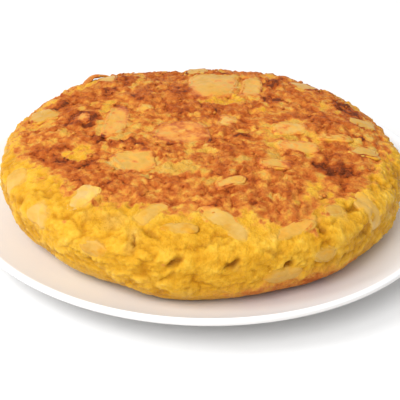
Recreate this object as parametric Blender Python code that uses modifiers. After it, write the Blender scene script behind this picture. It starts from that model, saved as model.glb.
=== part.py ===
"""A whole Spanish omelette resting on its plate.

The egg body is a turned form with soft lumps. Potato pieces sit in pockets in its
skin, flush with it, on the browned top and round the side. The plate is a shallow
coupe plate with a foot ring. Metres, +Z up. The origin is the middle of the plate's
foot, on the table, and -Y is the side that faces the viewer.
"""

import math
import random

import bmesh
import bpy
import numpy as np
from mathutils import Vector, noise

MM = 0.001

# The plate
PLATE_RADIUS = 0.135
PLATE_HEIGHT = 0.0208
PLATE_WALL = 0.0040
WELL_RADIUS = 0.084
WELL_TOP = 0.0072
FOOT_RING_RADIUS = 0.074
FOOT_RING_WIDTH = 0.0045
FOOT_RING_HEIGHT = 0.0026
SWEEP_POWER = 1.9
REST_GAP = 0.0003
PLATE_STEPS = 64

# The omelette's turned form: a domed top, its widest ring above mid height, and a
# side that draws in towards the plate, as the flared pan shaped it
OMELETTE_CENTRE = Vector((-0.002, -0.003, 0.0))
CROWN_HEIGHT = 0.0565
WIDEST_RADIUS = 0.1112
WIDEST_HEIGHT = 0.0398
UNDERSIDE_RADIUS = 0.078
UNDERSIDE_HEIGHT = 0.0075
DOME_POWER = 2.9
SIDE_POWER = 2.4
EGG_STEPS = 84
RING_SPACING = 0.0056

# Where the shoulder stands up or has sunk: turn and spread in degrees, lift in metres
SHOULDER_LIFTS = (
    (127, 13, 0.0020),
    (103, 12, -0.0018),
    (168, 9, -0.0012),
    (48, 20, 0.0006),
)
# Where the lower side bulges or draws in
SIDE_BULGES = (
    (-130, 13, -0.0012),
    (-95, 14, 0.0013),
    (-68, 11, -0.0012),
    (-42, 10, 0.0013),
)
BROAD_WAVE = 0.034
BROAD_LIFT = 0.0016
LUMP_WAVE = 0.0105
SIDE_LUMP = 0.0022
TOP_LUMP = 0.0011
LUMP_SINK = 0.0005

# Potato pieces that show: name, turn (degrees), reach (from the crown along the skin),
# length down the reach, width round it, thickness, twist (degrees), bend. Millimetres
TOP_POTATOES = (
    ("large_oval", 85, 66, 39, 32, 8, 0, 0),
    ("beside_oval", 65, 69, 33, 12, 7, 18, 0),
    ("tall_curved", 164, 51, 14, 40, 7, 12, 3),
    ("small_left", 136, 45, 10, 9, 6, 0, 0),
    ("left_front", -138, 48, 23, 26, 8, 20, 0),
    ("middle_slice", -178, 11, 31, 31, 6, 0, 0),
    ("middle_chip", 47, 21, 15, 11, 5, 30, 0),
    ("right_upper", 9, 50, 20, 16, 7, 0, 0),
    ("right_middle", -13, 55, 24, 14, 7, 8, 1),
    ("right_strip", -41, 53, 12, 19, 6, -50, 0),
    ("front_strip", -74, 57, 9, 20, 6, 16, 0),
    ("in_the_curl", 163, 71, 11, 12, 5, 0, 0),
    ("far_right_sliver", 1, 75, 21, 8, 5, 0, 0),
    ("right_edge", -7, 91, 19, 11, 6, 6, 0),
)
SIDE_POTATOES = (
    ("front_left_block", -132, 90, 22, 13, 9, 4, 0),
    ("left_oval", -159, 108, 17, 15, 8, 0, 0),
    ("left_low", -140, 112, 13, 19, 9, 0, 0),
    ("front_slant", -107, 86, 24, 11, 8, -32, 0),
    ("front_band", -96, 95, 8, 20, 8, 6, 0),
    ("front_crescent", -82.5, 90, 35, 13, 9, 44, -4),
    ("front_right_band", -61, 102, 9, 26, 8, 4, 0),
    ("right_oval", -34.5, 110, 23, 14, 9, 0, 0),
    ("low_front", -67, 128, 11, 24, 8, 0, 0),
    ("right_chip", -45.5, 100, 11, 12, 8, 0, 0),
    ("low_left", -119, 117, 11, 17, 8, 0, 0),
    ("low_right", -55, 120, 10, 15, 8, 0, 0),
)
BACK_POTATOES = 10
BACK_TURNS = (8.0, 188.0)
BACK_REACH = (99.0, 121.0)
BACK_LENGTH = (11.0, 22.0)
BACK_WIDTH = (12.0, 21.0)
BACK_SEED = 7

POTATO_SEGMENTS = 13
POTATO_RINGS = 4
POTATO_PROUD = 0.0005
POCKET_GAP = 0.00035
CUTTER_REACH = 0.005
SLAB_SQUARENESS = 0.6
OUTLINE_WAVES = ((2, 0.07), (3, 0.08), (5, 0.04))


def clear_scene():
    """Empties the scene of whatever it opened with."""
    for old in list(bpy.data.objects):
        bpy.data.objects.remove(old, do_unlink=True)


def material(name, colour, roughness):
    """A Principled material in a plain finish."""
    made = bpy.data.materials.new(name)
    made.use_nodes = True
    shader = made.node_tree.nodes["Principled BSDF"]
    shader.inputs["Base Color"].default_value = (*colour, 1.0)
    shader.inputs["Roughness"].default_value = roughness
    shader.inputs["Metallic"].default_value = 0.0
    return made


def collection(name):
    """A new collection in the scene."""
    made = bpy.data.collections.new(name)
    bpy.context.scene.collection.children.link(made)
    return made


def new_object(name, mesh, home, look=None):
    """An object for this mesh, in the collection home."""
    made = bpy.data.objects.new(name, mesh)
    home.objects.link(made)
    if look:
        mesh.materials.append(look)
    return made


def arc(centre, radius, start, end, steps):
    """Points (r, z) along an arc about centre, angles in degrees."""
    angles = np.radians(np.linspace(start, end, steps))
    return [(centre[0] + radius * math.cos(a), centre[1] + radius * math.sin(a)) for a in angles]


def profile_object(name, points, home, look, steps):
    """A solid of revolution: the outline, from the top of the axis to its foot, on a Screw."""
    mesh = bpy.data.meshes.new(name)
    edges = [(i, i + 1) for i in range(len(points) - 1)]
    mesh.from_pydata([(r, 0.0, z) for r, z in points], edges, [])
    made = new_object(name, mesh, home, look)
    screw = made.modifiers.new("Turn", "SCREW")
    screw.axis = "Z"
    screw.angle = math.tau
    screw.steps = steps
    screw.render_steps = steps
    screw.use_merge_vertices = True
    screw.merge_threshold = 0.00005
    screw.use_smooth_shade = True
    return made


def plate_top(radius):
    """Height of the plate's upper face at this radius, out to its lip."""
    run = PLATE_RADIUS - PLATE_WALL / 2 - WELL_RADIUS
    along = min(max((radius - WELL_RADIUS) / run, 0.0), 1.0)
    return WELL_TOP + (PLATE_HEIGHT - WELL_TOP) * along**SWEEP_POWER


def plate_profile():
    """The plate's outline: level well, wall that sweeps up to the lip, underside and foot ring."""
    lip = PLATE_WALL / 2
    lip_centre = (PLATE_RADIUS - lip, PLATE_HEIGHT - lip)
    inner = [(r, plate_top(r)) for r in np.linspace(WELL_RADIUS, lip_centre[0], 6)]
    outer = [(r, z - PLATE_WALL) for r, z in inner[1:-1]]
    ring_out = FOOT_RING_RADIUS + FOOT_RING_WIDTH / 2
    ring_in = FOOT_RING_RADIUS - FOOT_RING_WIDTH / 2
    foot = [
        (ring_out + FOOT_RING_HEIGHT / 2, FOOT_RING_HEIGHT),
        (ring_out, 0.0),
        (ring_in, 0.0),
        (ring_in - FOOT_RING_HEIGHT / 2, FOOT_RING_HEIGHT),
        (0.0, FOOT_RING_HEIGHT),
    ]
    return [(0.0, WELL_TOP)] + inner + arc(lip_centre, lip, 60, -90, 5) + outer[::-1] + foot


class Skin:
    """The omelette's outline, read by its reach: the distance from the crown along it."""

    def __init__(self, samples=600):
        dome_r = WIDEST_RADIUS * np.sin(np.linspace(0, math.pi / 2, samples))
        rise = CROWN_HEIGHT - WIDEST_HEIGHT
        dome_z = WIDEST_HEIGHT + rise * np.sqrt(1 - (dome_r / WIDEST_RADIUS) ** DOME_POWER)
        fall = np.linspace(1, 0, samples)[1:]
        side_z = UNDERSIDE_HEIGHT + (WIDEST_HEIGHT - UNDERSIDE_HEIGHT) * fall
        draw = (1 - (1 - fall) ** SIDE_POWER) ** (1 / SIDE_POWER)
        side_r = UNDERSIDE_RADIUS + (WIDEST_RADIUS - UNDERSIDE_RADIUS) * draw
        self.r = np.concatenate([dome_r, side_r])
        self.z = np.concatenate([dome_z, side_z])
        steps = np.hypot(np.diff(self.r), np.diff(self.z))
        self.reach = np.concatenate([[0.0], np.cumsum(steps)])
        along_r = np.gradient(self.r, self.reach)
        along_z = np.gradient(self.z, self.reach)
        length = np.hypot(along_r, along_z)
        self.normal_r = -along_z / length
        self.normal_z = along_r / length
        self.widest = float(self.reach[samples - 1])
        self.end = float(self.reach[-1])

    def radius(self, reach):
        return float(np.interp(reach, self.reach, self.r))

    def normal(self, turn, reach):
        """The way out of the skin at this turn (radians) and reach."""
        out = float(np.interp(reach, self.reach, self.normal_r))
        up = float(np.interp(reach, self.reach, self.normal_z))
        return Vector((out * math.cos(turn), out * math.sin(turn), up)).normalized()

    def point(self, turn, reach, lift=0.0):
        """The place at this turn and reach, lifted off the uneven skin."""
        r = self.radius(reach)
        z = float(np.interp(reach, self.reach, self.z))
        out = (lift + swell(turn, reach, self)) * self.normal(turn, reach)
        place = OMELETTE_CENTRE + Vector((r * math.cos(turn), r * math.sin(turn), z)) + out
        place.z = max(place.z, plate_top(math.hypot(place.x, place.y)) + REST_GAP)
        return place


def bell(value, middle, spread):
    """A smooth bump, 1 at the middle."""
    return math.exp(-(((value - middle) / spread) ** 2))


def turn_gap(turn, degrees):
    """Degrees from this turn to a stated one, the short way round."""
    return (math.degrees(turn) - degrees + 180.0) % 360.0 - 180.0


def side_share(reach, skin):
    """0 on the flat of the top, rising to 1 on the side."""
    t = (reach - 0.62 * skin.widest) / (0.30 * skin.widest)
    t = min(max(t, 0.0), 1.0)
    return t * t * (3 - 2 * t)


def foot_fade(reach, skin):
    """1 over the omelette, falling to 0 where it rests on the plate."""
    t = min(max((skin.end - reach) / (22 * MM), 0.0), 1.0)
    return t * t * (3 - 2 * t)


def swell(turn, reach, skin):
    """The broad unevenness of the whole omelette, in metres off the turned form."""
    radius = np.interp(reach, skin.reach, skin.r)
    spot = Vector((radius * math.cos(turn), radius * math.sin(turn), reach)) / BROAD_WAVE
    lift = BROAD_LIFT * noise.noise(spot)
    shoulder = bell(reach, 0.83 * skin.widest, 0.20 * skin.widest)
    for degrees, spread, rise in SHOULDER_LIFTS:
        lift += rise * shoulder * bell(turn_gap(turn, degrees), 0.0, spread)
    lower = bell(reach, 1.22 * skin.widest, 0.17 * skin.widest)
    for degrees, spread, rise in SIDE_BULGES:
        lift += rise * lower * bell(turn_gap(turn, degrees), 0.0, spread)
    return lift * foot_fade(reach, skin)


def lump(turn, reach, skin):
    """The egg's lumps between its potatoes, in metres off the uneven skin."""
    radius = np.interp(reach, skin.reach, skin.r)
    spot = Vector((radius * math.cos(turn), radius * math.sin(turn), reach)) / LUMP_WAVE
    share = side_share(reach, skin)
    height = TOP_LUMP + (SIDE_LUMP - TOP_LUMP) * share
    rough = noise.noise(spot) + 0.4 * noise.noise(spot * 2.1)
    return (height * rough - LUMP_SINK) * foot_fade(reach, skin)


def build_egg(skin, home, look):
    """The egg body: the outline turned, then its vertices moved out and in by its lumps."""
    rings = round(skin.end / RING_SPACING)
    reaches = np.linspace(0.0, skin.end, rings + 1)
    outline = [(float(np.interp(s, skin.reach, skin.r)), float(np.interp(s, skin.reach, skin.z))) for s in reaches]
    outline.append((0.0, UNDERSIDE_HEIGHT))
    turned = profile_object("omelette_egg", outline, home, look, EGG_STEPS)
    graph = bpy.context.evaluated_depsgraph_get()
    mesh = bpy.data.meshes.new_from_object(turned.evaluated_get(graph))
    mesh.name = "omelette_egg"
    old = turned.data
    turned.modifiers.clear()
    turned.data = mesh
    bpy.data.meshes.remove(old)
    for vertex in mesh.vertices:
        r = math.hypot(vertex.co.x, vertex.co.y)
        turn = math.atan2(vertex.co.y, vertex.co.x)
        nearest = int(np.argmin(np.hypot(skin.r - r, skin.z - vertex.co.z)))
        reach = float(skin.reach[nearest])
        inside_foot = r < UNDERSIDE_RADIUS - MM and vertex.co.z < WIDEST_HEIGHT
        if inside_foot:
            vertex.co += OMELETTE_CENTRE
        else:
            vertex.co = skin.point(turn, reach, lump(turn, reach, skin))
    return turned


def outline_factor(angle, phases):
    """How far a potato's uneven outline stands out at this angle."""
    return 1.0 + sum(depth * math.sin(waves * angle + phase) for (waves, depth), phase in zip(OUTLINE_WAVES, phases))


def potato_mesh(skin, piece, phases, grow, outward):
    """A slab moulded to the skin: a ball whose outer half lies on the skin and whose inner half goes in."""
    name, turn, reach, length, width, thickness, twist, bend = piece
    turn = math.radians(turn)
    twist = math.radians(twist)
    reach *= MM
    half_length = length * MM / 2 + grow
    half_width = width * MM / 2 + grow
    depth = thickness * MM + grow
    around = reach / max(skin.radius(reach), MM)
    inward = -skin.normal(turn, reach)
    body = bmesh.new()
    bmesh.ops.create_uvsphere(body, u_segments=POTATO_SEGMENTS, v_segments=POTATO_RINGS, radius=1.0)
    for vertex in body.verts:
        x, y, w = vertex.co
        spread = math.hypot(x, y)
        angle = math.atan2(y, x)
        push = outline_factor(angle, phases) * (spread**SLAB_SQUARENESS if spread > 1e-6 else 0.0)
        along = push * math.cos(angle) * half_length
        across = push * math.sin(angle) * half_width
        if length > width:
            across += bend * MM * ((along / half_length) ** 2 - 0.5)
        else:
            along += bend * MM * ((across / half_width) ** 2 - 0.5)
        down = along * math.cos(twist) - across * math.sin(twist)
        side = (along * math.sin(twist) + across * math.cos(twist)) * around
        level = math.copysign(abs(w) ** SLAB_SQUARENESS, w) if abs(w) > 1e-6 else 0.0
        place_turn = turn + math.atan2(side, reach + down)
        vertex.co = skin.point(place_turn, math.hypot(reach + down, side), max(level, 0.0) * outward)
        vertex.co += inward * max(-level, 0.0) * depth
    mesh = bpy.data.meshes.new(name)
    body.to_mesh(mesh)
    body.free()
    return mesh


def back_pieces():
    """Potato pieces round the side that faces away, spaced evenly with a seeded unevenness."""
    draw = random.Random(BACK_SEED)
    step = (BACK_TURNS[1] - BACK_TURNS[0]) / BACK_POTATOES
    pieces = []
    for index in range(BACK_POTATOES):
        turn = BACK_TURNS[0] + step * (index + 0.5) + draw.uniform(-0.18, 0.18) * step
        reach = BACK_REACH[index % 2] + draw.uniform(-4.0, 4.0)
        length = draw.uniform(*BACK_LENGTH)
        width = draw.uniform(*BACK_WIDTH)
        pieces.append((f"back_{index + 1:02d}", turn, reach, length, width, 8, draw.uniform(-25, 25), 0))
    return pieces


def build_potatoes(skin, home, pockets, look):
    """Each potato piece as its own solid, and for each a slightly larger cutter for its pocket."""
    draw = random.Random(BACK_SEED + 1)
    groups = (("potato_top", TOP_POTATOES), ("potato_side", SIDE_POTATOES), ("potato", back_pieces()))
    for prefix, pieces in groups:
        for piece in pieces:
            phases = [draw.uniform(0, math.tau) for _ in OUTLINE_WAVES]
            mesh = potato_mesh(skin, piece, phases, 0.0, POTATO_PROUD)
            mesh.shade_smooth()
            new_object(f"{prefix}_{piece[0]}", mesh, home, look)
            hole = potato_mesh(skin, piece, phases, POCKET_GAP, CUTTER_REACH)
            cutter = new_object(f"pocket_{piece[0]}", hole, pockets)
            cutter.hide_render = True
            cutter.display_type = "WIRE"


def cut_pockets(egg, pockets):
    """Takes the pockets out of the egg."""
    cut = egg.modifiers.new("Pockets", "BOOLEAN")
    cut.operation = "DIFFERENCE"
    cut.solver = "EXACT"
    cut.operand_type = "COLLECTION"
    cut.collection = pockets


def main():
    clear_scene()
    home = collection("spanish_omelette")
    pockets = collection("pockets")
    egg_look = material("egg", (0.86, 0.50, 0.09), 0.55)
    potato_look = material("potato", (0.80, 0.58, 0.22), 0.45)
    plate_look = material("porcelain", (0.87, 0.86, 0.85), 0.12)
    skin = Skin()
    egg = build_egg(skin, home, egg_look)
    build_potatoes(skin, home, pockets, potato_look)
    cut_pockets(egg, pockets)
    profile_object("plate", plate_profile(), home, plate_look, PLATE_STEPS)


main()
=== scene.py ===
"""The looks of a whole Spanish omelette on its plate.

The egg is one fine skin, laid over the modelled form and moved in and out by curds, torn
layers, crust, cracks and pits. The potato pieces that show are smooth solids in its skin,
each laid over its modelled one. Named spots on the crust say where it is pale, golden or
dark, and noise breaks up their edges. Small crumbs stand on the crust, and a loose curl of
it lies on the back rim. Lengths are in metres unless a name or a comment says millimetres.
"""

import math
import random

import bmesh
import bpy
import numpy as np
from mathutils import Matrix, Vector, noise
from mathutils.bvhtree import BVHTree


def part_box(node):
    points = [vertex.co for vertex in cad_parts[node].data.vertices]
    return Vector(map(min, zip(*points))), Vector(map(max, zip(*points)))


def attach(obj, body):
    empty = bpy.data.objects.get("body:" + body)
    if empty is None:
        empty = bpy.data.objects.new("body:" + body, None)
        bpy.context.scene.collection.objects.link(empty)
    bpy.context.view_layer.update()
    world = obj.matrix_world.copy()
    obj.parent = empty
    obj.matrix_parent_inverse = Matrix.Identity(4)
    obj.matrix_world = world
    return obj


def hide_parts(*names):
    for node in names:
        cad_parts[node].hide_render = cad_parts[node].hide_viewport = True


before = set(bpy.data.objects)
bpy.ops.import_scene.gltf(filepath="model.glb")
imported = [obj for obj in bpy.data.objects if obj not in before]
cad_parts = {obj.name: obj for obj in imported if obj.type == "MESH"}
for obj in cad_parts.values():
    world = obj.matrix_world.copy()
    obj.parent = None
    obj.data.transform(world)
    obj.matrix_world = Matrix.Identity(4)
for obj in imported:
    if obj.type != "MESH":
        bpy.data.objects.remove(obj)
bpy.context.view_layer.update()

MM = 0.001

# The omelette's turned form, as in the part
OMELETTE_CENTRE = Vector((-0.002, -0.003, 0.0))
OMELETTE_HALF_HEIGHT = Vector((0.0, 0.0, 0.028))
CROWN_HEIGHT = 0.0565
WIDEST_RADIUS = 0.1112
WIDEST_HEIGHT = 0.0398
UNDERSIDE_RADIUS = 0.078
UNDERSIDE_HEIGHT = 0.0075
DOME_POWER = 2.9
SIDE_POWER = 2.4
# Broad bumps of the shoulder and of the side: turn and spread in degrees, rise in metres
SHOULDER_LIFTS = ((127, 13, 0.0020), (103, 12, -0.0018), (168, 9, -0.0012), (48, 20, 0.0006))
SIDE_BULGES = ((-130, 13, -0.0012), (-95, 14, 0.0013), (-68, 11, -0.0012), (-42, 10, 0.0013))
# Bulges of the side that only the fine skin has: turn, spread and rise, as above
MORE_BULGES = (
    (-95, 14, -0.0006),
    (-68, 11, 0.0010),
    (-56, 14, 0.0008),
    (-40, 10, -0.0006),
    (-8, 26, 0.0042),
)
# Where these bumps lie and how far they reach, as shares of the widest reach
SHOULDER_BAND = (0.83, 0.20)
SIDE_BAND = (1.22, 0.17)
BROAD_WAVE = 0.034
BROAD_LIFT = 0.0016
# The bumps fade out over this length towards the underside
UNDERSIDE_FADE = 22 * MM

# The plate, as in the part
PLATE_RADIUS = 0.135
PLATE_HEIGHT = 0.0208
PLATE_WALL = 0.0040
WELL_RADIUS = 0.084
WELL_TOP = 0.0072
SWEEP_POWER = 1.9
FOOT_RING_RADIUS = 0.074
FOOT_RING_WIDTH = 0.0045
FOOT_RING_HEIGHT = 0.0026
REST_GAP = 0.0003

# Without a seed of its own, the noise that bends curds and crumbs would differ each run
NOISE_SEED = 3

# How finely the egg's skin is divided
TOP_DIVISIONS = 200
TOP_REACH = 0.100
SIDE_ROWS = 72

# Where the browned crust ends: turn in degrees, reach from the crown in millimetres
CRUST_EDGE = (
    (-180, 101), (-168, 95), (-153, 88), (-138, 86), (-128, 84), (-119, 80), (-106, 80), (-97, 80),
    (-88, 80), (-79, 81), (-72, 86), (-63, 93), (-57, 99), (-51, 92), (-44, 90), (-36, 92), (-31, 97),
    (-24, 95), (-17, 96), (-8, 100), (4, 105), (20, 109), (40, 110), (70, 111), (100, 113), (118, 110),
    (127, 105), (140, 108), (155, 109), (166, 104), (174, 100),
)

# Spots on the top, in millimetres: x, y, width, height, twist (degrees), toast, yolk
CRUST_SPOTS = (
    # broad fields
    (-14, 0, 38, 38, 0, 0.40, 0.35),
    (-16, 32, 44, 26, 0, 0.62, 0.4),
    (20, 30, 40, 18, 0, 0.60, 0.4),
    (60, 22, 40, 26, -20, 0.52, 0.5),
    (50, -4, 44, 30, -15, 0.34, 0.6),
    (-77, -26, 36, 26, -35, 0.72, 0.4),
    (-50, -52, 26, 26, 20, 0.57, 0.4),
    (-12, -60, 64, 20, 0, 0.48, 0.4),
    (48, -48, 56, 16, 8, 0.47, 0.4),
    (52, -68, 24, 22, 0, 0.47, 0.6),
    (-60, 55, 44, 40, 0, 0.50, 0.5),
    (62, 60, 50, 40, 0, 0.50, 0.4),
    (-15, 78, 34, 44, 0, 0.56, 0.4),
    # pale and golden spots
    (8, 68, 36, 42, 0, 0.06, 0.15),
    (13, 45, 30, 15, 0, 0.20, 0.9),
    (28, 62, 16, 38, -4, 0.22, 0.5),
    (-48, 9, 21, 38, 12, 0.10, 0.35),
    (-54, 30, 8, 24, -10, 0.22, 0.6),
    (-33, 29, 13, 15, 0, 0.20, 0.3),
    (14, 17, 9, 17, 0, 0.22, 0.5),
    (48, 6, 26, 18, 0, 0.20, 0.5),
    (55, -11, 28, 14, -8, 0.14, 0.6),
    (40, -28, 10, 27, 0, 0.22, 0.4),
    (38, -37, 14, 9, 0, 0.16, 0.3),
    (-36, -33, 30, 20, -4, 0.05, 0.2),
    (-12, -40, 25, 12, 4, -0.04, 0.42),
    (-66, -22, 14, 18, 10, 0.14, 0.9),
    (-89, -4, 16, 11, 10, 0.34, 0.5),
    (-86, 27, 13, 15, 0, 0.36, 0.5),
    (13, -54, 24, 8, 8, 0.12, 0.4),
    (39, -65, 10, 6, 0, 0.12, 0.3),
    (62, -55, 15, 20, 0, 0.26, 0.9),
    (-28, -49, 6, 9, 0, 0.22, 0.3),
    (34, 29, 13, 9, 0, 0.26, 0.7),
    (51, 15, 11, 8, 0, 0.20, 0.4),
    (91, -3, 20, 11, -8, 0.18, 0.5),
    (75, 1, 22, 7, 0, 0.24, 0.5),
    (95, 11, 8, 22, 0, 0.28, 0.4),
    (88, 60, 7, 26, 34, 0.26, 0.5),
    (-70, 72, 9, 32, -40, 0.18, 0.9),
    (-39, 68, 6, 32, -12, 0.24, 0.5),
    (-42, 88, 14, 16, 0, 0.30, 0.6),
    (40, 84, 9, 18, 0, 0.28, 0.6),
    (-92, 48, 8, 22, -25, 0.18, 0.9),
    (-52, -18, 10, 6, 0, 0.26, 0.5),
    (74, 38, 18, 11, -20, 0.32, 0.6),
    (21, -28, 11, 8, 0, 0.20, 0.4),
    (2, -19, 22, 6, 5, 0.30, 0.5),
    (-74, 3, 15, 9, 0, 0.42, 0.5),
    (-96, 15, 8, 14, 0, 0.32, 0.7),
    (22, -70, 10, 6, 0, 0.30, 0.8),
    (-1, -70, 9, 5, 0, 0.34, 0.6),
    # brown and dark spots
    (-83, 42, 20, 12, -20, 0.74, 0.4),
    (-36, 46, 15, 11, 0, 0.78, 0.4),
    (-55, 57, 10, 15, 0, 0.86, 0.3),
    (-45, 72, 8, 18, 0, 0.72, 0.4),
    (42, 72, 9, 13, 0, 0.97, 0.3),
    (40, 46, 13, 17, 0, 0.76, 0.4),
    (22, -4, 11, 8, 0, 0.98, 0.3),
    (18, -11, 7, 7, 0, 0.74, 0.3),
    (90, 5, 7, 7, 0, 0.90, 0.3),
    (84, 44, 14, 18, 20, 0.96, 0.4),
    (65, 21, 32, 9, -14, 0.68, 0.4),
    (-40, -12, 20, 9, -6, 0.76, 0.4),
    (-57, -6, 8, 13, 20, 0.78, 0.4),
    (-66, -50, 13, 9, -20, 0.76, 0.4),
    (71, -34, 28, 14, -16, 0.90, 0.4),
    (74, -46, 10, 12, 0, 0.70, 0.4),
    (20, -72, 20, 8, -8, 0.56, 0.4),
    (50, -84, 18, 12, 10, 0.56, 0.6),
    (-20, -51, 20, 6, 0, 0.66, 0.4),
    (-62, -34, 12, 9, 0, 0.74, 0.4),
    (5, 88, 30, 8, 0, 0.66, 0.4),
    (-13, 56, 13, 26, 0, 0.70, 0.4),
    (-20, 20, 22, 7, 10, 0.60, 0.4),
)
# The ring of dark crust on the left: x, y, radius of the ring, its width
RING_SPOT = (-67, 19, 7.5, 5.0)

# Pits in the side, in millimetres: turn (degrees), reach, length down, width, depth, twist
SIDE_PITS = (
    (125.2, 106, 13, 4.5, 3.4, 0),
    (-96, 115, 4.2, 9, 2.6, -38),
    (-81, 116, 4.2, 9.5, 2.8, -40),
    (-126, 88, 8, 4, 2.4, 15),
    (-115, 82, 8, 4, 2.0, -20),
    (-108, 106, 8, 1.8, 2.0, -22),
    (-54, 107, 5, 5, 2.4, 0),
    (-66, 121, 4, 5, 2.4, 20),
    (-62, 127, 3, 5, 1.2, 10),
    (-120, 125, 3, 6, 1.4, 20),
    (-39, 104, 4, 14, 1.8, 8),
    (-41, 119, 4, 7, 1.6, 0),
    (-150, 112, 4, 7, 1.6, 20),
    (-104, 100, 3, 12, 1.6, 24),
    (-70, 112, 3, 12, 1.4, 18),
    (-88, 104, 3, 9, 1.3, -20),
    (-48, 126, 4, 5, 1.6, 0),
    (30, 112, 4, 9, 2.2, 20),
    (62, 118, 4, 8, 2.4, -20),
    (95, 110, 5, 7, 2.2, 0),
    (128, 117, 4, 9, 2.4, 25),
    (158, 112, 4, 8, 2.0, -10),
    (5, 116, 4, 8, 2.0, 10),
)
# Small toasted dots on the side: turn, reach, size, toast
SIDE_DOTS = ((-130, 108, 3.0, 0.40), (-137, 92, 4.0, 0.5), (-99, 117, 2.5, 0.3), (-60, 96, 4.0, 0.5))
# Millimetres of side for one radian of turn
SIDE_RADIUS = 110

# Broad fields of the side: the turn of the middle and the spread in degrees, then the reaches
# between which the field comes in
# Painted shade, partly real browning: the lower front right, turned down and away from the light, is
# painted browner
SHADE_AND_BROWNING_FRONT_RIGHT = (-60.0, 25.0, 0.122, 0.140)
# Painted light: the low left of the side, turned towards the key lamp, is painted paler
PAINTED_LIGHT_LOW_LEFT = (-126.0, 24.0, 0.112, 0.132)
# The reaches between which the foot of the side turns brown, and between which its lumps fade
BROWN_FOOT = (0.144, 0.164)
CALM_FOOT = (0.132, 0.145)
# The right of the side is lumpier: the turn of its middle and its spread
LUMPY_RIGHT = (-12.0, 34.0)

# Potato pieces: how far each sinks into the egg, the film of egg on its rim, how far the egg
# lies below its bare middle, and the reaches between which top pieces give way to side pieces
PIECE_SINK = 0.5 * MM
FILM_LIFT = 0.18 * MM
BARE_SINK = 0.8 * MM
TOP_TO_SIDE = (72 * MM, 84 * MM)
# How far from a piece's middle the rays start that lay its fine ball on it
CAST_DISTANCE = 0.08
BALL_SMOOTHING = 3
# How square the pieces are: 2 would be round
PIECE_POWER = 3.6

# Crumbs of crust
CRUMB_SEED = 5
CRUMB_SPOTS = 640
CRUMB_REACH = 0.111

# Paint, in 8-bit display values: the crust by how toasted it is, and the egg of the side
TOAST_COLOURS = (
    (0.00, (232, 174, 68)),
    (0.20, (222, 154, 58)),
    (0.36, (212, 134, 52)),
    (0.52, (198, 112, 42)),
    (0.68, (182, 91, 29)),
    (0.84, (157, 70, 19)),
    (1.00, (106, 47, 17)),
)
EGG_COLOURS = (
    (0.00, (193, 127, 10)),
    (0.28, (208, 147, 24)),
    (0.50, (220, 162, 37)),
    (0.74, (232, 180, 55)),
    (1.00, (241, 198, 94)),
)
POTATO_COLOURS = (
    (0.00, (194, 145, 54)),
    (0.50, (207, 163, 79)),
    (1.00, (206, 174, 113)),
)
# Potato pieces that stand out from the others: how pale, and how much more toasted
POTATO_LOOKS = {
    "potato_side_front_left_block": (2.0, -0.10),
    "potato_side_front_right_band": (0.1, 0.12),
    "potato_top_middle_slice": (0.3, 0.10),
    "potato_top_large_oval": (0.2, 0.0),
    "potato_top_tall_curved": (0.2, 0.06),
}
# Painted shade in the cracks and pits of the side and under the crust's edge
HOLLOW_SHADE_COLOUR = (150, 88, 10)
# The plate's glaze, and the greyer tone painted as shade where the plate faces sideways or down
PORCELAIN_FACE = (241, 244, 248)
PORCELAIN_SHADE = (226, 224, 222)

# The loose curl of crust on the back rim: turn (degrees), reach and lift in millimetres
CRUST_CURL = (
    (134.0, 104.0, -0.8),
    (131.5, 105.2, 0.2),
    (129.6, 106.3, 1.2),
    (128.2, 106.8, 1.9),
    (127.0, 106.6, 1.7),
    (125.6, 106.2, 1.2),
    (124.0, 105.2, 0.4),
    (122.6, 104.2, -0.8),
)
CURL_WIDTH = 7.0 * MM
CURL_THICKNESS = 2.2 * MM


def colour(red, green, blue):
    """Linear colour for 8-bit display values."""
    shares = [value / 255 for value in (red, green, blue)]
    linear = [s / 12.92 if s <= 0.04045 else ((s + 0.055) / 1.055) ** 2.4 for s in shares]
    return (*linear, 1.0)


def ease(low, high, value):
    """0 below low, 1 above high, with a smooth rise between."""
    t = np.clip((value - low) / (high - low), 0.0, 1.0)
    return t * t * (3 - 2 * t)


def bell(value, middle, spread):
    """1 at the middle, falling softly to 0 on both sides."""
    return np.exp(-(((value - middle) / spread) ** 2))


def degrees_between(degrees, middle):
    """The turn from the middle to each turn, from -180 to 180."""
    return (degrees - middle + 180.0) % 360.0 - 180.0


def plate_top(radius):
    """Height of the plate's upper face at each radius."""
    run = PLATE_RADIUS - PLATE_WALL / 2 - WELL_RADIUS
    along = np.clip((radius - WELL_RADIUS) / run, 0.0, 1.0)
    return WELL_TOP + (PLATE_HEIGHT - WELL_TOP) * along**SWEEP_POWER


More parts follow.
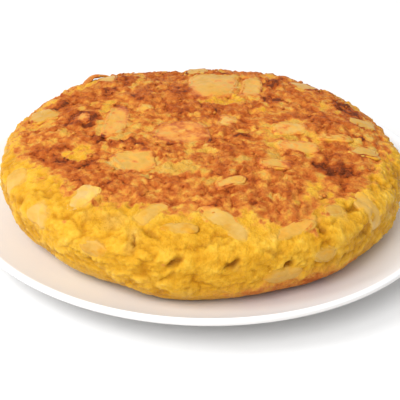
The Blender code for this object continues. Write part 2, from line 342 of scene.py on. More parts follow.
class Skin:
    """The omelette's outline, read by its reach: the distance from the crown along it."""

    def __init__(self, samples=600):
        dome_r = WIDEST_RADIUS * np.sin(np.linspace(0, math.pi / 2, samples))
        rise = CROWN_HEIGHT - WIDEST_HEIGHT
        dome_z = WIDEST_HEIGHT + rise * np.sqrt(1 - (dome_r / WIDEST_RADIUS) ** DOME_POWER)
        fall = np.linspace(1, 0, samples)[1:]
        side_z = UNDERSIDE_HEIGHT + (WIDEST_HEIGHT - UNDERSIDE_HEIGHT) * fall
        draw = (1 - (1 - fall) ** SIDE_POWER) ** (1 / SIDE_POWER)
        side_r = UNDERSIDE_RADIUS + (WIDEST_RADIUS - UNDERSIDE_RADIUS) * draw
        self.r = np.concatenate([dome_r, side_r])
        self.z = np.concatenate([dome_z, side_z])
        steps = np.hypot(np.diff(self.r), np.diff(self.z))
        self.reach = np.concatenate([[0.0], np.cumsum(steps)])
        along_r = np.gradient(self.r, self.reach)
        along_z = np.gradient(self.z, self.reach)
        length = np.hypot(along_r, along_z)
        self.normal_r = -along_z / length
        self.normal_z = along_r / length
        self.widest = float(self.reach[samples - 1])
        self.end = float(self.reach[-1])

    def normals(self, turn, reach):
        """The way out of the skin at each turn (radians) and reach."""
        out = np.interp(reach, self.reach, self.normal_r)
        up = np.interp(reach, self.reach, self.normal_z)
        ways = np.stack([out * np.cos(turn), out * np.sin(turn), up], axis=1)
        return ways / np.linalg.norm(ways, axis=1)[:, None]

    def points(self, turn, reach, lift=0.0):
        """The place at each turn and reach, lifted off the uneven skin."""
        r = np.interp(reach, self.reach, self.r)
        z = np.interp(reach, self.reach, self.z)
        flat = np.stack([r * np.cos(turn), r * np.sin(turn), z], axis=1)
        out = (lift + self.swell(turn, reach))[:, None] * self.normals(turn, reach)
        places = flat + out + np.array(OMELETTE_CENTRE)
        floor = plate_top(np.hypot(places[:, 0], places[:, 1])) + REST_GAP
        places[:, 2] = np.maximum(places[:, 2], floor)
        return places

    def find(self, places):
        """The turn and the reach nearest to each place."""
        from_centre = places - np.array(OMELETTE_CENTRE)
        radius = np.hypot(from_centre[:, 0], from_centre[:, 1])
        nearest = []
        for r, z in zip(radius, from_centre[:, 2]):
            nearest.append(int(np.argmin(np.hypot(self.r - r, self.z - z))))
        return np.arctan2(from_centre[:, 1], from_centre[:, 0]), self.reach[nearest]

    def swell(self, turn, reach):
        """The broad unevenness of the whole omelette, off the turned form."""
        radius = np.interp(reach, self.reach, self.r)
        spots = np.stack([radius * np.cos(turn), radius * np.sin(turn), reach], axis=1) / BROAD_WAVE
        lift = BROAD_LIFT * np.array([noise.noise(Vector(spot)) for spot in spots])
        shoulder = self.bumps(turn, reach, SHOULDER_BAND, SHOULDER_LIFTS)
        lift += shoulder + self.bumps(turn, reach, SIDE_BAND, SIDE_BULGES)
        return lift * ease(0.0, UNDERSIDE_FADE, self.end - reach) + self.more_swell(turn, reach)

    def more_swell(self, turn, reach):
        """The bulges that the modelled solids don't have."""
        more = self.bumps(turn, reach, SIDE_BAND, MORE_BULGES)
        return more * ease(0.0, UNDERSIDE_FADE, self.end - reach)

    def bumps(self, turn, reach, band, bumps):
        """Bumps of the skin along one band."""
        lift = np.zeros(len(turn))
        for middle, spread, rise in bumps:
            lift += rise * bell(degrees_between(np.degrees(turn), middle), 0.0, spread)
        return lift * bell(reach / self.widest, *band)


def soft_noise(points, wave, octaves, seed):
    """Soft noise from about -1 to 1 at each point, in bumps about wave across."""
    shift = Vector((17.3, -9.1, 5.7)) * seed
    return np.array([noise.fractal(Vector(p) / wave + shift, 0.8, 2.1, octaves) for p in points])


def puffs(points, wave, seed):
    """Round puffs with sharp creases between them, from about 0 to 1."""
    return np.minimum(np.abs(soft_noise(points, wave, 1, seed)) * 2.6, 1.2)


def curds(points, wave, seed):
    """Curds about wave across: their height from 0 to 1, and the creases between them."""
    shift = Vector((7.9, 3.1, -11.7)) * seed
    height = np.empty(len(points))
    crease = np.empty(len(points))
    for i, point in enumerate(points):
        place = Vector(point) / wave + shift
        near = noise.voronoi(place + 0.5 * noise.noise_vector(place * 1.4))[0]
        height[i] = 1.0 - min(near[0] / 0.9, 1.0) ** 2.5
        crease[i] = near[1] - near[0]
    return height, 1.0 - ease(0.02, 0.22, crease)


def layers(points, wave, seed):
    """Torn layers about wave across: two steps with ragged edges, from 0 to 1."""
    height = soft_noise(points, wave, 4, seed)
    return 0.5 * ease(-0.12, -0.05, height) + 0.5 * ease(0.12, 0.19, height)


def spot_share(x, y, spot, soft):
    """How far each place lies in an oval spot: 1 inside, falling to 0 at its edge."""
    cx, cy, width, height, twist = spot[:5]
    a = math.radians(twist)
    along = (x - cx) * math.cos(a) + (y - cy) * math.sin(a)
    across = (y - cy) * math.cos(a) - (x - cx) * math.sin(a)
    far = np.hypot(along / (width / 2), across / (height / 2))
    return 1.0 - ease(1.0 - soft, 1.0 + soft, far)


def side_field(degrees, reach, field):
    """How far each place lies in a broad field of the side, from 0 to 1."""
    middle, spread, first_reach, full_reach = field
    return bell(degrees, middle, spread) * ease(first_reach, full_reach, reach)


def crust_map(turn, reach, points):
    """How toasted the skin is, how much it is yolk rather than potato, and how far it is crust."""
    plan_x = reach / MM * np.cos(turn)
    plan_y = reach / MM * np.sin(turn)
    warp_x = 3.2 * soft_noise(points, 9 * MM, 3, 1) + 1.0 * soft_noise(points, 2.6 * MM, 1, 2)
    warp_y = 3.2 * soft_noise(points, 9 * MM, 3, 3) + 1.0 * soft_noise(points, 2.6 * MM, 1, 4)
    x = plan_x + warp_x
    y = plan_y + warp_y
    toast = 0.50 + 0.16 * soft_noise(points, 17 * MM, 2, 5)
    yolk = 0.45 + 0.25 * soft_noise(points, 20 * MM, 1, 6)
    for spot in CRUST_SPOTS:
        share = spot_share(x, y, spot, 0.26)
        toast += (spot[5] - toast) * share
        yolk += (spot[6] - yolk) * share
    ring_x, ring_y, ring_radius, ring_width = RING_SPOT
    off_ring = np.abs(np.hypot(x - ring_x, y - ring_y) - ring_radius)
    toast += (0.80 - toast) * (1 - ease(0.25 * ring_width, 0.75 * ring_width, off_ring))
    toast += 0.20 * soft_noise(points, 6 * MM, 3, 7) + 0.12 * soft_noise(points, 2.2 * MM, 2, 8)
    toast += 0.20 * (0.50 - puffs(points, 7 * MM, 12))
    toast = 0.11 + 0.52 * ease(0.12, 0.63, toast) + np.maximum(toast - 0.62, 0.0)
    edge_turns = [t for t, _ in CRUST_EDGE] + [180]
    edge_reaches = [r for _, r in CRUST_EDGE] + [CRUST_EDGE[0][1]]
    degrees = np.degrees(turn)
    edge = np.interp(degrees, edge_turns, edge_reaches)
    ragged = 5.2 * soft_noise(points, 10 * MM, 3, 9) + 3.0 * soft_noise(points, 3.2 * MM, 2, 10)
    inside = 1.0 - ease(-3.8, 3.8, reach / MM - edge - ragged)
    fringe = 1.0 - ease(1.0, 13.0, reach / MM - edge - 1.5 * ragged)
    fringe *= 0.17 + 0.44 * ease(-0.1, 0.5, soft_noise(points, 5 * MM, 3, 14))
    toast = np.clip(toast, 0.02, 1.0) * inside + fringe * (1 - inside)
    yolk = yolk * inside + (1 - inside) * (0.86 + 0.36 * soft_noise(points, 15 * MM, 2, 13))
    for dot_turn, dot_reach, size, amount in SIDE_DOTS:
        across = np.radians(degrees_between(degrees, dot_turn)) * SIDE_RADIUS
        far = np.hypot(across, reach / MM - dot_reach) / (size / 2)
        toast = np.maximum(toast, amount * (1 - ease(0.5, 1.3, far)))
    foot = ease(*BROWN_FOOT, reach)
    toast = np.maximum(toast, foot * (0.11 + 0.25 * soft_noise(points, 8 * MM, 2, 11)))
    # Painted shade, partly real browning: the lower front right of the side is painted browner
    front_right = side_field(degrees, reach, SHADE_AND_BROWNING_FRONT_RIGHT)
    toast = np.maximum(toast, front_right * (0.46 + 0.3 * soft_noise(points, 6 * MM, 3, 15)))
    return np.clip(toast, 0.0, 1.0), np.clip(yolk, 0.0, 1.0), inside


def pit_depth(turn, reach, points):
    """Depth in metres of the pits in the side at each place."""
    depth = np.zeros(len(turn))
    degrees = np.degrees(turn)
    stray_x = 1.3 * soft_noise(points, 4 * MM, 3, 51)
    stray_y = 1.3 * soft_noise(points, 4 * MM, 3, 52)
    for pit_turn, pit_reach, length, width, deep, twist in SIDE_PITS:
        across = np.radians(degrees_between(degrees, pit_turn)) * SIDE_RADIUS + stray_x
        spot = (0.0, 0.0, width, length, twist)
        share = spot_share(across, reach / MM - pit_reach + stray_y, spot, 0.45)
        depth = np.maximum(depth, deep * MM * share)
    return depth


def read_bmesh(body):
    """The body's vertex places as an array."""
    return np.array([v.co for v in body.verts], float).reshape(-1, 3)


def unrolled_disc():
    """The whole skin laid out flat: a round grid for the top, and rings round it for the side."""
    body = bmesh.new()
    bmesh.ops.create_grid(body, x_segments=TOP_DIVISIONS, y_segments=TOP_DIVISIONS, size=1.0)
    for vertex in body.verts:
        x, y, _ = vertex.co
        far = max(abs(x), abs(y))
        if far < 1e-9:
            continue
        turn = math.pi / 4 * (y / x) if abs(x) >= abs(y) else math.pi / 2 - math.pi / 4 * (x / y)
        if (abs(x) >= abs(y) and x < 0) or (abs(y) > abs(x) and y < 0):
            turn += math.pi
        vertex.co = Vector((far * math.cos(turn), far * math.sin(turn), 0.0)) * TOP_REACH
    return body


def extrude_side(body, skin):
    """Adds the side's rings round the flat top, and a face that closes the underside."""
    rim = [edge for edge in body.edges if edge.is_boundary]
    for reach in np.linspace(TOP_REACH, skin.end, SIDE_ROWS + 1)[1:]:
        grown = bmesh.ops.extrude_edge_only(body, edges=rim)["geom"]
        for vertex in (g for g in grown if isinstance(g, bmesh.types.BMVert)):
            vertex.co *= reach / vertex.co.length
        rim = [g for g in grown if isinstance(g, bmesh.types.BMEdge) and g.is_boundary]
    bmesh.ops.contextual_create(body, geom=rim)


def potato_tree(pieces):
    """One search tree of all the potato pieces."""
    places = []
    faces = []
    for piece in pieces:
        start = len(places)
        places += [v.co.copy() for v in piece.data.vertices]
        faces += [[start + i for i in p.vertices] for p in piece.data.polygons]
    return BVHTree.FromPolygons(places, faces)


def potato_names():
    """The modelled potato pieces, in order."""
    return sorted(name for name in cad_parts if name.startswith("potato_"))


def potato_cover(tree, places, normals):
    """Each place's distance from the nearest piece, less than 0 over one, and that piece's lift."""
    farthest = 20 * MM
    probe_depth = 3.0 * MM
    near = 3 * MM
    ray_start = 8 * MM
    ray_length = 12 * MM
    gaps = np.full(len(places), farthest)
    lifts = np.full(len(places), -5 * MM)
    for i, (place, normal) in enumerate(zip(places, normals)):
        below = Vector(place - probe_depth * normal)
        hit, way, _, far = tree.find_nearest(below, farthest)
        if hit is not None:
            gaps[i] = far if (below - hit).dot(way) > 0 else -far
        if gaps[i] < near:
            start = Vector(place + ray_start * normal)
            hit, _, _, far = tree.ray_cast(start, Vector(-normal), ray_length)
            if hit is not None:
                lifts[i] = ray_start - far
    return gaps, lifts


def add_values(mesh, name, values):
    """Stores one number for each vertex, for the material to read."""
    layer = mesh.attributes.new(name, "FLOAT", "POINT")
    layer.data.foreach_set("value", np.asarray(values, np.float32))


def new_piece(body, name, material):
    """A shown object from this body, riding with the whole."""
    bmesh.ops.recalc_face_normals(body, faces=body.faces)
    mesh = bpy.data.meshes.new(name)
    body.to_mesh(mesh)
    body.free()
    mesh.shade_smooth()
    mesh.materials.append(material)
    piece = bpy.data.objects.new(name, mesh)
    bpy.context.scene.collection.objects.link(piece)
    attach(piece, "root")
    return piece


def side_relief(places, degrees, reach):
    """The side's curds and torn layers in millimetres, its small curds alone, and its cracks."""
    squat = np.array((1.0, 1.0, 1.35))
    wide = places * squat
    big, big_crease = curds(wide, 13 * MM, 1)
    small, small_crease = curds(wide, 4.8 * MM, 2)
    lumps = big + 0.4 * small + 0.46 * soft_noise(places, 2.6 * MM, 3, 22) - 1.25
    lumps += 0.7 * layers(wide, 8 * MM, 36)
    lumps += 0.3 * soft_noise(places, 18 * MM, 1, 23)
    crack = big_crease * ease(0.05, 0.35, soft_noise(places, 15 * MM, 2, 29))
    fine_crack = 0.6 * small_crease * ease(0.15, 0.4, soft_noise(places, 9 * MM, 2, 32))
    crack = np.maximum(crack, fine_crack)
    lumps -= 0.6 * crack
    lumps *= 1.0 - 0.65 * ease(*CALM_FOOT, reach)
    lumps *= 1.0 + 0.5 * bell(degrees, *LUMPY_RIGHT)
    return lumps, small, crack


def crust_relief(places, toast, small, inside):
    """The crust's flakes in millimetres, and the folds between them."""
    flakes, fold = curds(places, 9 * MM, 5)
    fold *= ease(-0.25, 0.3, soft_noise(places, 12 * MM, 2, 34)) * inside
    crust = 0.8 * soft_noise(places, 9 * MM, 2, 24) + 0.9 * (toast - 0.45)
    crust = crust + 1.1 * (flakes - 1.0) - 0.9 * fold
    crust += 0.9 * (small - 0.8) + 0.75 * soft_noise(places, 2.6 * MM, 2, 26)
    return crust, fold


def build_egg(skin, pieces, material):
    """The egg: the flat disc wrapped on the skin, with its curds, crust, pits and potato beds."""
    body = unrolled_disc()
    extrude_side(body, skin)
    flat = read_bmesh(body)
    reach = np.hypot(flat[:, 0], flat[:, 1])
    turn = np.arctan2(flat[:, 1], flat[:, 0])
    places = skin.points(turn, reach)
    normals = skin.normals(turn, reach)
    degrees = np.degrees(turn)
    toast, yolk, inside = crust_map(turn, reach, places)
    gap, potato_lift = potato_cover(potato_tree(pieces), places, normals)
    side = 1.0 - inside
    lumps, small, crack = side_relief(places, degrees, reach)
    crust, fold = crust_relief(places, toast, small, inside)
    # Painted shade and light: the crust is painted more toasted in the folds between flakes and paler on
    # the tops of the small curds
    toast += 0.20 * fold - 0.10 * (small - 0.5) * inside
    edge = 4.0 * inside * side * ease(-0.1, 0.3, soft_noise(places, 10 * MM, 2, 33))
    detail = (lumps * side + crust * inside - 0.7 * edge) * MM
    pits = pit_depth(turn, reach, places)
    # The crust is browner in a ring round each piece
    gap = gap / MM
    ring = ease(-1.6, -0.2, gap) * (1.0 - ease(0.3, 2.4, gap))
    ring = ring * inside * ease(20 * MM, 30 * MM, reach)
    browner = 0.26 * ring * ease(-0.3, 0.4, soft_noise(places, 7 * MM, 2, 35))
    toast = np.clip(toast + browner, 0.0, 1.0)
    # Egg lies as a film over the rim of each piece, and sinks below its bare middle
    ragged_gap = gap + 1.3 * soft_noise(places, 5 * MM, 3, 27)
    ragged_gap = ragged_gap + 1.2 * soft_noise(places, 13 * MM, 1, 30)
    bare = 1.0 - ease(-2.7, -0.7, ragged_gap)
    film = 1.0 - ease(-0.6, 0.6, gap)
    potato_lift = potato_lift + FILM_LIFT
    over = np.maximum(potato_lift, 0.7 * detail - 0.3 * MM)
    lift = (detail + (over - detail) * film) * (1 - bare) + (potato_lift - BARE_SINK) * bare - pits
    fade = ease(0.0, 9 * MM, skin.end - reach)
    final = skin.points(turn, reach, lift * fade)
    for vertex, place in zip(body.verts, final):
        vertex.co = place
    egg = new_piece(body, "egg_skin", material)
    # Painted shade: the egg is painted darker in its cracks, in the pits and under the crust's edge
    hollow_shade = 0.25 * crack * side * (1 - film) + pits / MM * 0.33 + 0.35 * edge
    # Painted light and shade: the side is painted paler on its raised lumps and darker between them, and
    # paler on the low left that the key lamp lights
    rise = 0.5 + 0.24 * (lumps - 0.1) + 0.18 * side_field(degrees, reach, PAINTED_LIGHT_LOW_LEFT)
    add_values(egg.data, "toast", toast)
    add_values(egg.data, "yolk", yolk * (1 - 0.35 * film))
    add_values(egg.data, "hollow_shade", np.clip(hollow_shade, 0.0, 1.0))
    add_values(egg.data, "rise", np.clip(rise, 0.0, 1.0))
    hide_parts("omelette_egg")


def squared(places, axes, middle):
    """The places pushed out towards the corners of the piece's own box, and how far out they lie."""
    local = (places - middle) @ axes.T
    half = np.abs(local).max(axis=0)
    shares = np.abs(local[:, :2] / half[:2]) + 1e-9
    far = np.hypot(shares[:, 0], shares[:, 1])
    blocky = (shares[:, 0] ** PIECE_POWER + shares[:, 1] ** PIECE_POWER) ** (1 / PIECE_POWER)
    local[:, :2] *= (far / blocky)[:, None]
    return local @ axes + middle, far


def build_potato(name, skin, material):
    """A smooth block of potato, cast from a fine ball on to its modelled solid."""
    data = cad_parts[name].data
    tree = BVHTree.FromPolygons([v.co for v in data.vertices], [list(p.vertices) for p in data.polygons])
    low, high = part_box(name)
    middle = (low + high) / 2
    size = high - low
    body = bmesh.new()
    bmesh.ops.create_icosphere(body, subdivisions=5, radius=1.0)
    for vertex in body.verts:
        way = Vector((vertex.co.x * size.x, vertex.co.y * size.y, vertex.co.z * size.z)).normalized()
        start = middle + way * CAST_DISTANCE
        hit = tree.ray_cast(start, -way)[0]
        vertex.co = hit if hit is not None else middle
    for _ in range(BALL_SMOOTHING):
        bmesh.ops.smooth_vert(
            body, verts=body.verts, factor=0.5, use_axis_x=True, use_axis_y=True, use_axis_z=True
        )
    places = read_bmesh(body)
    _, _, axes = np.linalg.svd(places - places.mean(axis=0), full_matrices=False)
    places, far = squared(places, axes, places.mean(axis=0))
    outward = np.array((middle - OMELETTE_CENTRE - OMELETTE_HALF_HEIGHT).normalized())
    turn, reach = skin.find(places)
    swell = skin.more_swell(turn, reach)[:, None]
    places += swell * skin.normals(turn, reach) - PIECE_SINK * outward
    for vertex, place in zip(body.verts, places):
        vertex.co = place
    body.normal_update()
    wave = 0.40 * soft_noise(places, 6 * MM, 2, 40) + 0.10 * soft_noise(places, 1.8 * MM, 2, 41)
    for vertex, move in zip(body.verts, wave):
        vertex.co += vertex.normal * (move * MM)
    piece = new_piece(body, name + "_look", material)
    places = np.array([v.co for v in piece.data.vertices], float)
    turn, reach = skin.find(places)
    toast, _, _ = crust_map(turn, reach, places)
    film = 0.85 * ease(0.78, 1.20, far + 0.5 * soft_noise(places, 6 * MM, 3, 42))
    film = np.maximum(film, 0.5 * ease(0.0, 0.5, soft_noise(places, 7 * MM, 3, 43)))
    browned = ease(0.05, 0.5, soft_noise(places, 4.5 * MM, 3, 44) + 0.5 * ease(0.6, 1.1, far) - 0.1)
    tint, more_toast = POTATO_LOOKS.get(name, (random.Random(name).random(), 0.0))
    low_down = ease(*TOP_TO_SIDE, reach)
    toast = toast * (0.50 + 0.50 * ease(0.5, 0.9, far)) * (1 - 0.85 * low_down) + more_toast
    toast += (0.06 + 0.22 * browned) * (1 - low_down)
    add_values(piece.data, "toast", toast)
    add_values(piece.data, "yolk", film)
    add_values(piece.data, "tint", np.full(len(places), tint) * (1 - 0.45 * low_down))
    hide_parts(name)
    return piece


def along_path(path, t):
    """The place at share t of a smooth line through the path's points."""
    span = np.clip(t, 0.0, 1.0) * (len(path) - 1)
    first = np.minimum(span.astype(int), len(path) - 2)
    u = (span - first)[:, None]
    padded = np.concatenate([path[:1], path, path[-1:]])
    a, b, c, d = (padded[first + k] for k in range(4))
    bend = 2 * a - 5 * b + 4 * c - d
    twist = 3 * b - a - 3 * c + d
    return 0.5 * (2 * b + (c - a) * u + bend * u**2 + twist * u**3)


def build_curl(skin, material):
    """The loose curl of crust: a flat tapering strand laid through its spots on the skin."""
    spots = np.array(CRUST_CURL, float)
    path = skin.points(np.radians(spots[:, 0]), spots[:, 1] * MM, spots[:, 2] * MM)
    middle_turn = np.array([math.radians(spots[:, 0].mean())])
    out = skin.normals(middle_turn, np.array([spots[:, 1].mean() * MM]))[0]
    body = bmesh.new()
    bmesh.ops.create_grid(body, x_segments=48, y_segments=16, size=1.0)
    flat = read_bmesh(body)
    t = (flat[:, 0] + 1) / 2
    centre = along_path(path, t)
    ahead = along_path(path, np.minimum(t + 0.01, 1.0)) - along_path(path, np.maximum(t - 0.01, 0.0))
    across = np.cross(ahead, out)
    across /= np.linalg.norm(across, axis=1)[:, None]
    swell = np.clip(4 * t * (1 - t), 0.0, 1.0) ** 0.4 * (1 + 0.25 * soft_noise(centre, 4 * MM, 2, 60))
    angle = math.pi * flat[:, 1]
    places = centre + across * (CURL_WIDTH / 2 * swell * np.cos(angle))[:, None]
    places += out * (CURL_THICKNESS / 2 * swell * np.sin(angle))[:, None]
    for vertex, place in zip(body.verts, places):
        vertex.co = place
    bmesh.ops.remove_doubles(body, verts=body.verts, dist=0.000002)
    curl = new_piece(body, "crust_curl", material)
    count = len(curl.data.vertices)
    add_values(curl.data, "toast", np.full(count, 0.42))
    add_values(curl.data, "yolk", np.full(count, 0.2))
    add_values(curl.data, "hollow_shade", np.zeros(count))
    add_values(curl.data, "rise", np.full(count, 0.7))


def build_crumbs(skin, material):
    """Small rough crumbs of crust that stand out of the browned skin, most at its edge."""
    random.seed(CRUMB_SEED)
    body = bmesh.new()
    spots = []
    for _ in range(CRUMB_SPOTS):
        turn = random.uniform(-math.pi, math.pi)
        reach = CRUMB_REACH * math.sqrt(random.random())
        spots.append((turn, reach))
    turns, reaches = np.array(spots).T
    places = skin.points(turns, reaches)
    ways = skin.normals(turns, reaches)
    toast, _, inside = crust_map(turns, reaches, places)
    values = []
    for i, place in enumerate(places):
        if inside[i] < 0.25 or toast[i] < 0.36:
            continue
        way = Vector(ways[i])
        size = random.uniform(0.5, 1.2 + 0.9 * ease(0.0, 0.5, 1.0 - inside[i])) * MM
        shape = Matrix.Diagonal((size, size * random.uniform(0.5, 0.9), size * 0.45, 1.0))
        turned = way.to_track_quat("Z", "Y").to_matrix().to_4x4()
        turned = turned @ Matrix.Rotation(random.uniform(0, 6.28), 4, "Z")
        sunk = Matrix.Translation(Vector(place) - way * size * 0.05)
        made = bmesh.ops.create_icosphere(body, subdivisions=1, radius=1.0, matrix=sunk @ turned @ shape)
        for vertex in made["verts"]:
            vertex.co += noise.noise_vector(vertex.co / (0.9 * MM)) * size * 0.35
        values += [min(1.0, toast[i] + random.uniform(-0.15, 0.15))] * len(made["verts"])
    crumbs = new_piece(body, "crust_crumbs", material)
    count = len(values)
    add_values(crumbs.data, "toast", values)
    add_values(crumbs.data, "yolk", np.full(count, 0.4))
    add_values(crumbs.data, "hollow_shade", np.zeros(count))
    add_values(crumbs.data, "rise", np.full(count, 0.6))


def build_plate(material):
    """The plate: its outline turned into a smooth solid."""
    lip = PLATE_WALL / 2
    lip_centre = (PLATE_RADIUS - lip, PLATE_HEIGHT - lip)
    inner = [(r, float(plate_top(r))) for r in np.linspace(WELL_RADIUS, lip_centre[0], 26)]
    angles = np.radians(np.linspace(75, -90, 14))
    rim = [(lip_centre[0] + lip * math.cos(a), lip_centre[1] + lip * math.sin(a)) for a in angles]
    outer = [(r, z - PLATE_WALL) for r, z in inner[1:-1]][::-1]
    ring_out = FOOT_RING_RADIUS + FOOT_RING_WIDTH / 2
    ring_in = FOOT_RING_RADIUS - FOOT_RING_WIDTH / 2
    soft = FOOT_RING_HEIGHT / 2
    worn_width = 0.0005
    worn_height = 0.0004
    foot = [
        (ring_out + soft, FOOT_RING_HEIGHT),
        (ring_out + soft * 0.2, FOOT_RING_HEIGHT * 0.6),
        (ring_out, worn_height),
        (ring_out - worn_width, 0.0),
        (ring_in + worn_width, 0.0),
        (ring_in, worn_height),
        (ring_in - soft * 0.2, FOOT_RING_HEIGHT * 0.6),
        (ring_in - soft, FOOT_RING_HEIGHT),
        (0.0, FOOT_RING_HEIGHT),
    ]
    outline = [(0.0, WELL_TOP), (WELL_RADIUS * 0.5, WELL_TOP)] + inner + rim + outer + foot
    body = bmesh.new()
    places = [body.verts.new((r, 0.0, z)) for r, z in outline]
    edges = [body.edges.new(pair) for pair in zip(places, places[1:])]
    turning = {"cent": (0, 0, 0), "axis": (0, 0, 1), "angle": math.tau, "steps": 240, "use_merge": True}
    bmesh.ops.spin(body, geom=places + edges, **turning)
    bmesh.ops.remove_doubles(body, verts=body.verts, dist=0.00001)
    plate = new_piece(body, "plate_look", material)
    # Painted shade: how far each vertex faces up, so faces turned sideways or down are painted greyer
    facing = np.array([v.normal.z for v in plate.data.vertices])
    add_values(plate.data, "upward_lit", ease(0.2, 0.85, facing))
    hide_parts("plate")


class Net:
    """Adds nodes to a tree and joins them."""

    def __init__(self, tree):
        self.tree = tree

    def add(self, kind, inputs=None, **settings):
        """A node with these settings. An input takes a value or another node's output."""
        made = self.tree.nodes.new(kind)
        for key, value in settings.items():
            setattr(made, key, value)
        for key, value in (inputs or {}).items():
            socket = made.inputs[key]
            self.feed(socket, value)
        return made

    def feed(self, socket, value):
        """Sets an input to a value, or joins another node's output to it."""
        if isinstance(value, bpy.types.NodeSocket):
            self.tree.links.new(value, socket)
        else:
            socket.default_value = value

    def maths(self, operation, first, second, clamp=False):
        """The result of one sum."""
        settings = {"operation": operation, "use_clamp": clamp}
        return self.add("ShaderNodeMath", {0: first, 1: second}, **settings).outputs[0]

    def off_middle(self, value, gain):
        """How far the value lies from 0.5, times the gain."""
        return self.maths("MULTIPLY", self.maths("SUBTRACT", value, 0.5), gain)

    def spread(self, value, low, high, to_low=0.0, to_high=1.0):
        """The value stretched from one range on to another, and held in it."""
        sockets = {"Value": value, "From Min": low, "From Max": high}
        sockets |= {"To Min": to_low, "To Max": to_high}
        return self.add("ShaderNodeMapRange", sockets).outputs["Result"]

    def mix(self, share, first, second):
        """Two colours mixed."""
        return self.add("ShaderNodeMix", {0: share, 6: first, 7: second}, data_type="RGBA").outputs[2]

    def ramp(self, value, stops):
        """A colour for each value, from stops of (place, 8-bit colour)."""
        made = self.add("ShaderNodeValToRGB", {"Fac": value})
        steps = made.color_ramp.elements
        while len(steps) < len(stops):
            steps.new(0.5)
        for step, (place, shade) in zip(steps, stops):
            step.position = place
            step.color = colour(*shade)
        return made.outputs["Color"]

    def grain(self, place, wave, detail, rough=0.6):
        """Soft noise from 0 to 1, in bumps about wave across."""
        sockets = {"Vector": place, "Scale": 1 / wave, "Detail": detail, "Roughness": rough}
        return self.add("ShaderNodeTexNoise", sockets).outputs["Fac"]

    def drift(self, place, wave, amount):
        """A soft sideways wander of the place."""
        cloud = self.add("ShaderNodeTexNoise", {"Vector": place, "Scale": 1 / wave, "Detail": 2.0})
        sockets = {0: cloud.outputs["Color"], 1: (0.5, 0.5, 0.5)}
        centred = self.add("ShaderNodeVectorMath", sockets, operation="SUBTRACT").outputs[0]
        sockets = {0: centred, "Scale": amount * 2}
        return self.add("ShaderNodeVectorMath", sockets, operation="SCALE").outputs[0]

    def value(self, name):
        """A number stored on the mesh."""
        return self.add("ShaderNodeAttribute", attribute_name=name).outputs["Fac"]

    def bump(self, height, strength, distance):
        """The way out of a surface made uneven by this height."""
        sockets = {"Height": height, "Strength": strength, "Distance": distance}
        return self.add("ShaderNodeBump", sockets).outputs["Normal"]

    def toasted(self, group, plain, place):
        """The group that toasts a plain colour by the mesh's own toast."""
        sockets = {"Toast": self.value("toast"), "Plain": plain, "Place": place}
        return self.add("ShaderNodeGroup", sockets, node_tree=group)


def new_material(name):
    """An empty node material and its net, shader and place."""
    made = bpy.data.materials.new(name)
    made.use_nodes = True
    net = Net(made.node_tree)
    shader = made.node_tree.nodes["Principled BSDF"]
    place = net.add("ShaderNodeTexCoord").outputs["Object"]
    return made, net, shader, place


def toast_group():
    """Colour and unevenness of toasted skin, shared by egg and potato, with painted shade in its low
    places and painted light on its high ones.
    """
    tree = bpy.data.node_groups.new("toasted_skin", "ShaderNodeTree")
    for name, kind in (("Toast", "Float"), ("Plain", "Color"), ("Place", "Vector")):
        tree.interface.new_socket(name, in_out="INPUT", socket_type="NodeSocket" + kind)
    for name, kind in (("Colour", "Color"), ("Height", "Float"), ("Toast", "Float")):
        tree.interface.new_socket(name, in_out="OUTPUT", socket_type="NodeSocket" + kind)
    net = Net(tree)
    given = net.add("NodeGroupInput")
    toast = given.outputs["Toast"]
    place = given.outputs["Place"]
    fine = net.grain(place, 1.3 * MM, 5.0, 0.7)
    coarse = net.grain(place, 4.2 * MM, 6.0, 0.66)
    sockets = {0: place, 1: net.drift(place, 3.0 * MM, 3.0 * MM)}
    strayed = net.add("ShaderNodeVectorMath", sockets, operation="ADD").outputs[0]
    cells = net.add("ShaderNodeTexVoronoi", {"Vector": strayed, "Scale": 1 / (4.2 * MM)})
    flake = net.add("ShaderNodeSeparateColor", {"Color": cells.outputs["Color"]}).outputs["Red"]
    crumbs = net.maths("SUBTRACT", 1.0, cells.outputs["Distance"])
    height = net.maths("ADD", net.maths("MULTIPLY", fine, 0.60), net.maths("MULTIPLY", coarse, 0.18))
    height = net.maths("ADD", height, net.maths("MULTIPLY", crumbs, 0.22))
    share = net.spread(toast, 0.05, 0.4, 0.1, 1.0)
    # Painted shade and light: low places of the bump are painted more toasted and high ones paler; the
    # flakes vary in their own tone
    shade_and_flake = net.maths("ADD", net.off_middle(height, -1.15), net.off_middle(flake, 0.18))
    varied = net.maths("ADD", toast, net.maths("MULTIPLY", shade_and_flake, share), clamp=True)
    crust = net.ramp(varied, TOAST_COLOURS)
    shown = net.mix(net.spread(varied, 0.08, 0.30), given.outputs["Plain"], crust)
    scaled = net.maths("MULTIPLY", height, net.spread(toast, 0.05, 0.35, 0.9, 1.0))
    net.add("NodeGroupOutput", {"Colour": shown, "Height": scaled, "Toast": varied})
    return tree


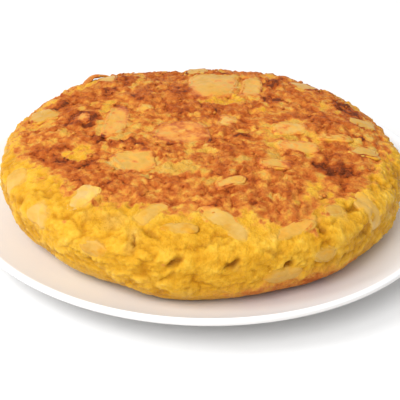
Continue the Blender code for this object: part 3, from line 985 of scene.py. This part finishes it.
def egg_material(group):
    """Cooked egg: yellow and soft at the side, toasted on top, with an oily gloss, painted shade in its
    cracks, pits and low places, and painted light on its raised curds.
    """
    made, net, shader, place = new_material("egg_look")
    broad = net.grain(place, 11 * MM, 3.0)
    crumb = net.grain(place, 2.4 * MM, 5.0, 0.65)
    tone = net.maths("ADD", net.maths("MULTIPLY", broad, 0.5), net.maths("MULTIPLY", crumb, 0.5))
    # Painted light and shade from the rise: paler on raised lumps and on the low left of the side
    tone = net.maths("ADD", net.off_middle(tone, 1.2), net.value("rise"), clamp=True)
    yolk = net.spread(net.value("yolk"), 0.30, 0.70)
    egg = net.mix(yolk, net.ramp(tone, POTATO_COLOURS), net.ramp(tone, EGG_COLOURS))
    # Painted shade in the cracks, the pits and under the crust's edge
    egg = net.mix(net.value("hollow_shade"), egg, colour(*HOLLOW_SHADE_COLOUR))
    toasted = net.toasted(group, egg, place)
    net.feed(shader.inputs["Base Color"], toasted.outputs["Colour"])
    net.feed(shader.inputs["Normal"], net.bump(toasted.outputs["Height"], 1.0, 0.0017))
    roughness = net.spread(toasted.outputs["Toast"], 0.1, 0.5, 0.33, 0.52)
    net.feed(shader.inputs["Roughness"], roughness)
    shader.inputs["Specular IOR Level"].default_value = 0.12
    shader.inputs["Subsurface Weight"].default_value = 0.06
    shader.inputs["Subsurface Radius"].default_value = (1.0, 0.6, 0.2)
    shader.inputs["Subsurface Scale"].default_value = 0.002
    return made


def potato_material(group):
    """Cooked potato: pale, waxy and slightly see-through, toasted where it meets the crust."""
    made, net, shader, place = new_material("potato_look")
    broad = net.grain(place, 9 * MM, 3.0)
    tint = net.maths("MULTIPLY", net.value("tint"), 0.30)
    tone = net.maths("ADD", net.maths("MULTIPLY", broad, 0.8), tint)
    tone = net.spread(tone, 0.32, 0.90)
    flesh = net.mix(net.value("yolk"), net.ramp(tone, POTATO_COLOURS), net.ramp(tone, EGG_COLOURS))
    toasted = net.toasted(group, flesh, place)
    net.feed(shader.inputs["Base Color"], toasted.outputs["Colour"])
    net.feed(shader.inputs["Normal"], net.bump(toasted.outputs["Height"], 0.25, 0.0005))
    shader.inputs["Roughness"].default_value = 0.38
    shader.inputs["Specular IOR Level"].default_value = 0.2
    shader.inputs["Subsurface Weight"].default_value = 0.15
    shader.inputs["Subsurface Radius"].default_value = (1.0, 0.7, 0.3)
    shader.inputs["Subsurface Scale"].default_value = 0.005
    return made


def plain_material(name, shade, roughness):
    """One even finish."""
    made, _, shader, _ = new_material(name)
    shader.inputs["Base Color"].default_value = colour(*shade)
    shader.inputs["Roughness"].default_value = roughness
    return made


def porcelain_material():
    """White glaze, with painted shade: greyer where it faces sideways or down, on the rim's edge and
    under the plate.
    """
    made, net, shader, _ = new_material("porcelain_look")
    shade = net.mix(net.value("upward_lit"), colour(*PORCELAIN_SHADE), colour(*PORCELAIN_FACE))
    net.feed(shader.inputs["Base Color"], shade)
    shader.inputs["Roughness"].default_value = 0.22
    shader.inputs["Specular IOR Level"].default_value = 0.3
    return made


def build_stage():
    """A white floor, soft light from the upper left and a pale surround."""
    body = bmesh.new()
    bmesh.ops.create_grid(body, x_segments=1, y_segments=1, size=6.0)
    mesh = bpy.data.meshes.new("floor")
    body.to_mesh(mesh)
    body.free()
    mesh.materials.append(plain_material("floor_white", (233, 233, 233), 0.7))
    floor = bpy.data.objects.new("floor", mesh)
    bpy.context.scene.collection.objects.link(floor)
    world = bpy.data.worlds.new("surround")
    bpy.context.scene.world = world
    world.use_nodes = True
    sky = world.node_tree.nodes["Background"]
    sky.inputs["Color"].default_value = (1.0, 0.992, 0.984, 1.0)
    sky.inputs["Strength"].default_value = 0.75
    lamps = (
        ("key", (-1.58, -0.35, 1.70), 1.2, 23.5),
        ("front_fill", (-0.90, -1.65, 1.75), 1.6, 38.0),
    )
    for name, spot, size, power in lamps:
        data = bpy.data.lights.new(name, "AREA")
        data.shape = "DISK"
        data.size = size
        data.energy = power
        lamp = bpy.data.objects.new(name, data)
        lamp.location = spot
        lamp.rotation_euler = (Vector((0, 0, 0.03)) - Vector(spot)).to_track_quat("-Z", "Y").to_euler()
        bpy.context.scene.collection.objects.link(lamp)


def build_camera():
    """The camera at the photograph's place and angle."""
    elevation = math.radians(29.9)
    roll = math.radians(1.04)
    aim = Vector((-0.002, -0.033, 0.030))
    distance = 0.80
    back = Vector((0.0, -math.cos(elevation), math.sin(elevation)))
    right = Vector((1.0, 0.0, 0.0))
    up = back.cross(right)
    rolled_right = right * math.cos(roll) + up * math.sin(roll)
    rolled_up = up * math.cos(roll) - right * math.sin(roll)
    data = bpy.data.cameras.new("camera")
    data.sensor_width = 36.0
    data.lens = 132.35
    data.clip_start = 0.05
    data.clip_end = 20.0
    camera = bpy.data.objects.new("camera", data)
    turned = Matrix((rolled_right, rolled_up, back)).transposed().to_4x4()
    camera.matrix_world = Matrix.Translation(aim + back * distance) @ turned
    bpy.context.scene.collection.objects.link(camera)
    bpy.context.scene.camera = camera


def main():
    """Builds the pieces, the stage and the camera."""
    noise.seed_set(NOISE_SEED)
    skin = Skin()
    group = toast_group()
    egg_look = egg_material(group)
    potato_look = potato_material(group)
    pieces = [build_potato(name, skin, potato_look) for name in potato_names()]
    build_egg(skin, pieces, egg_look)
    build_curl(skin, egg_look)
    build_crumbs(skin, egg_look)
    build_plate(porcelain_material())
    build_stage()
    build_camera()
    bpy.context.scene.view_settings.view_transform = "Standard"


main()
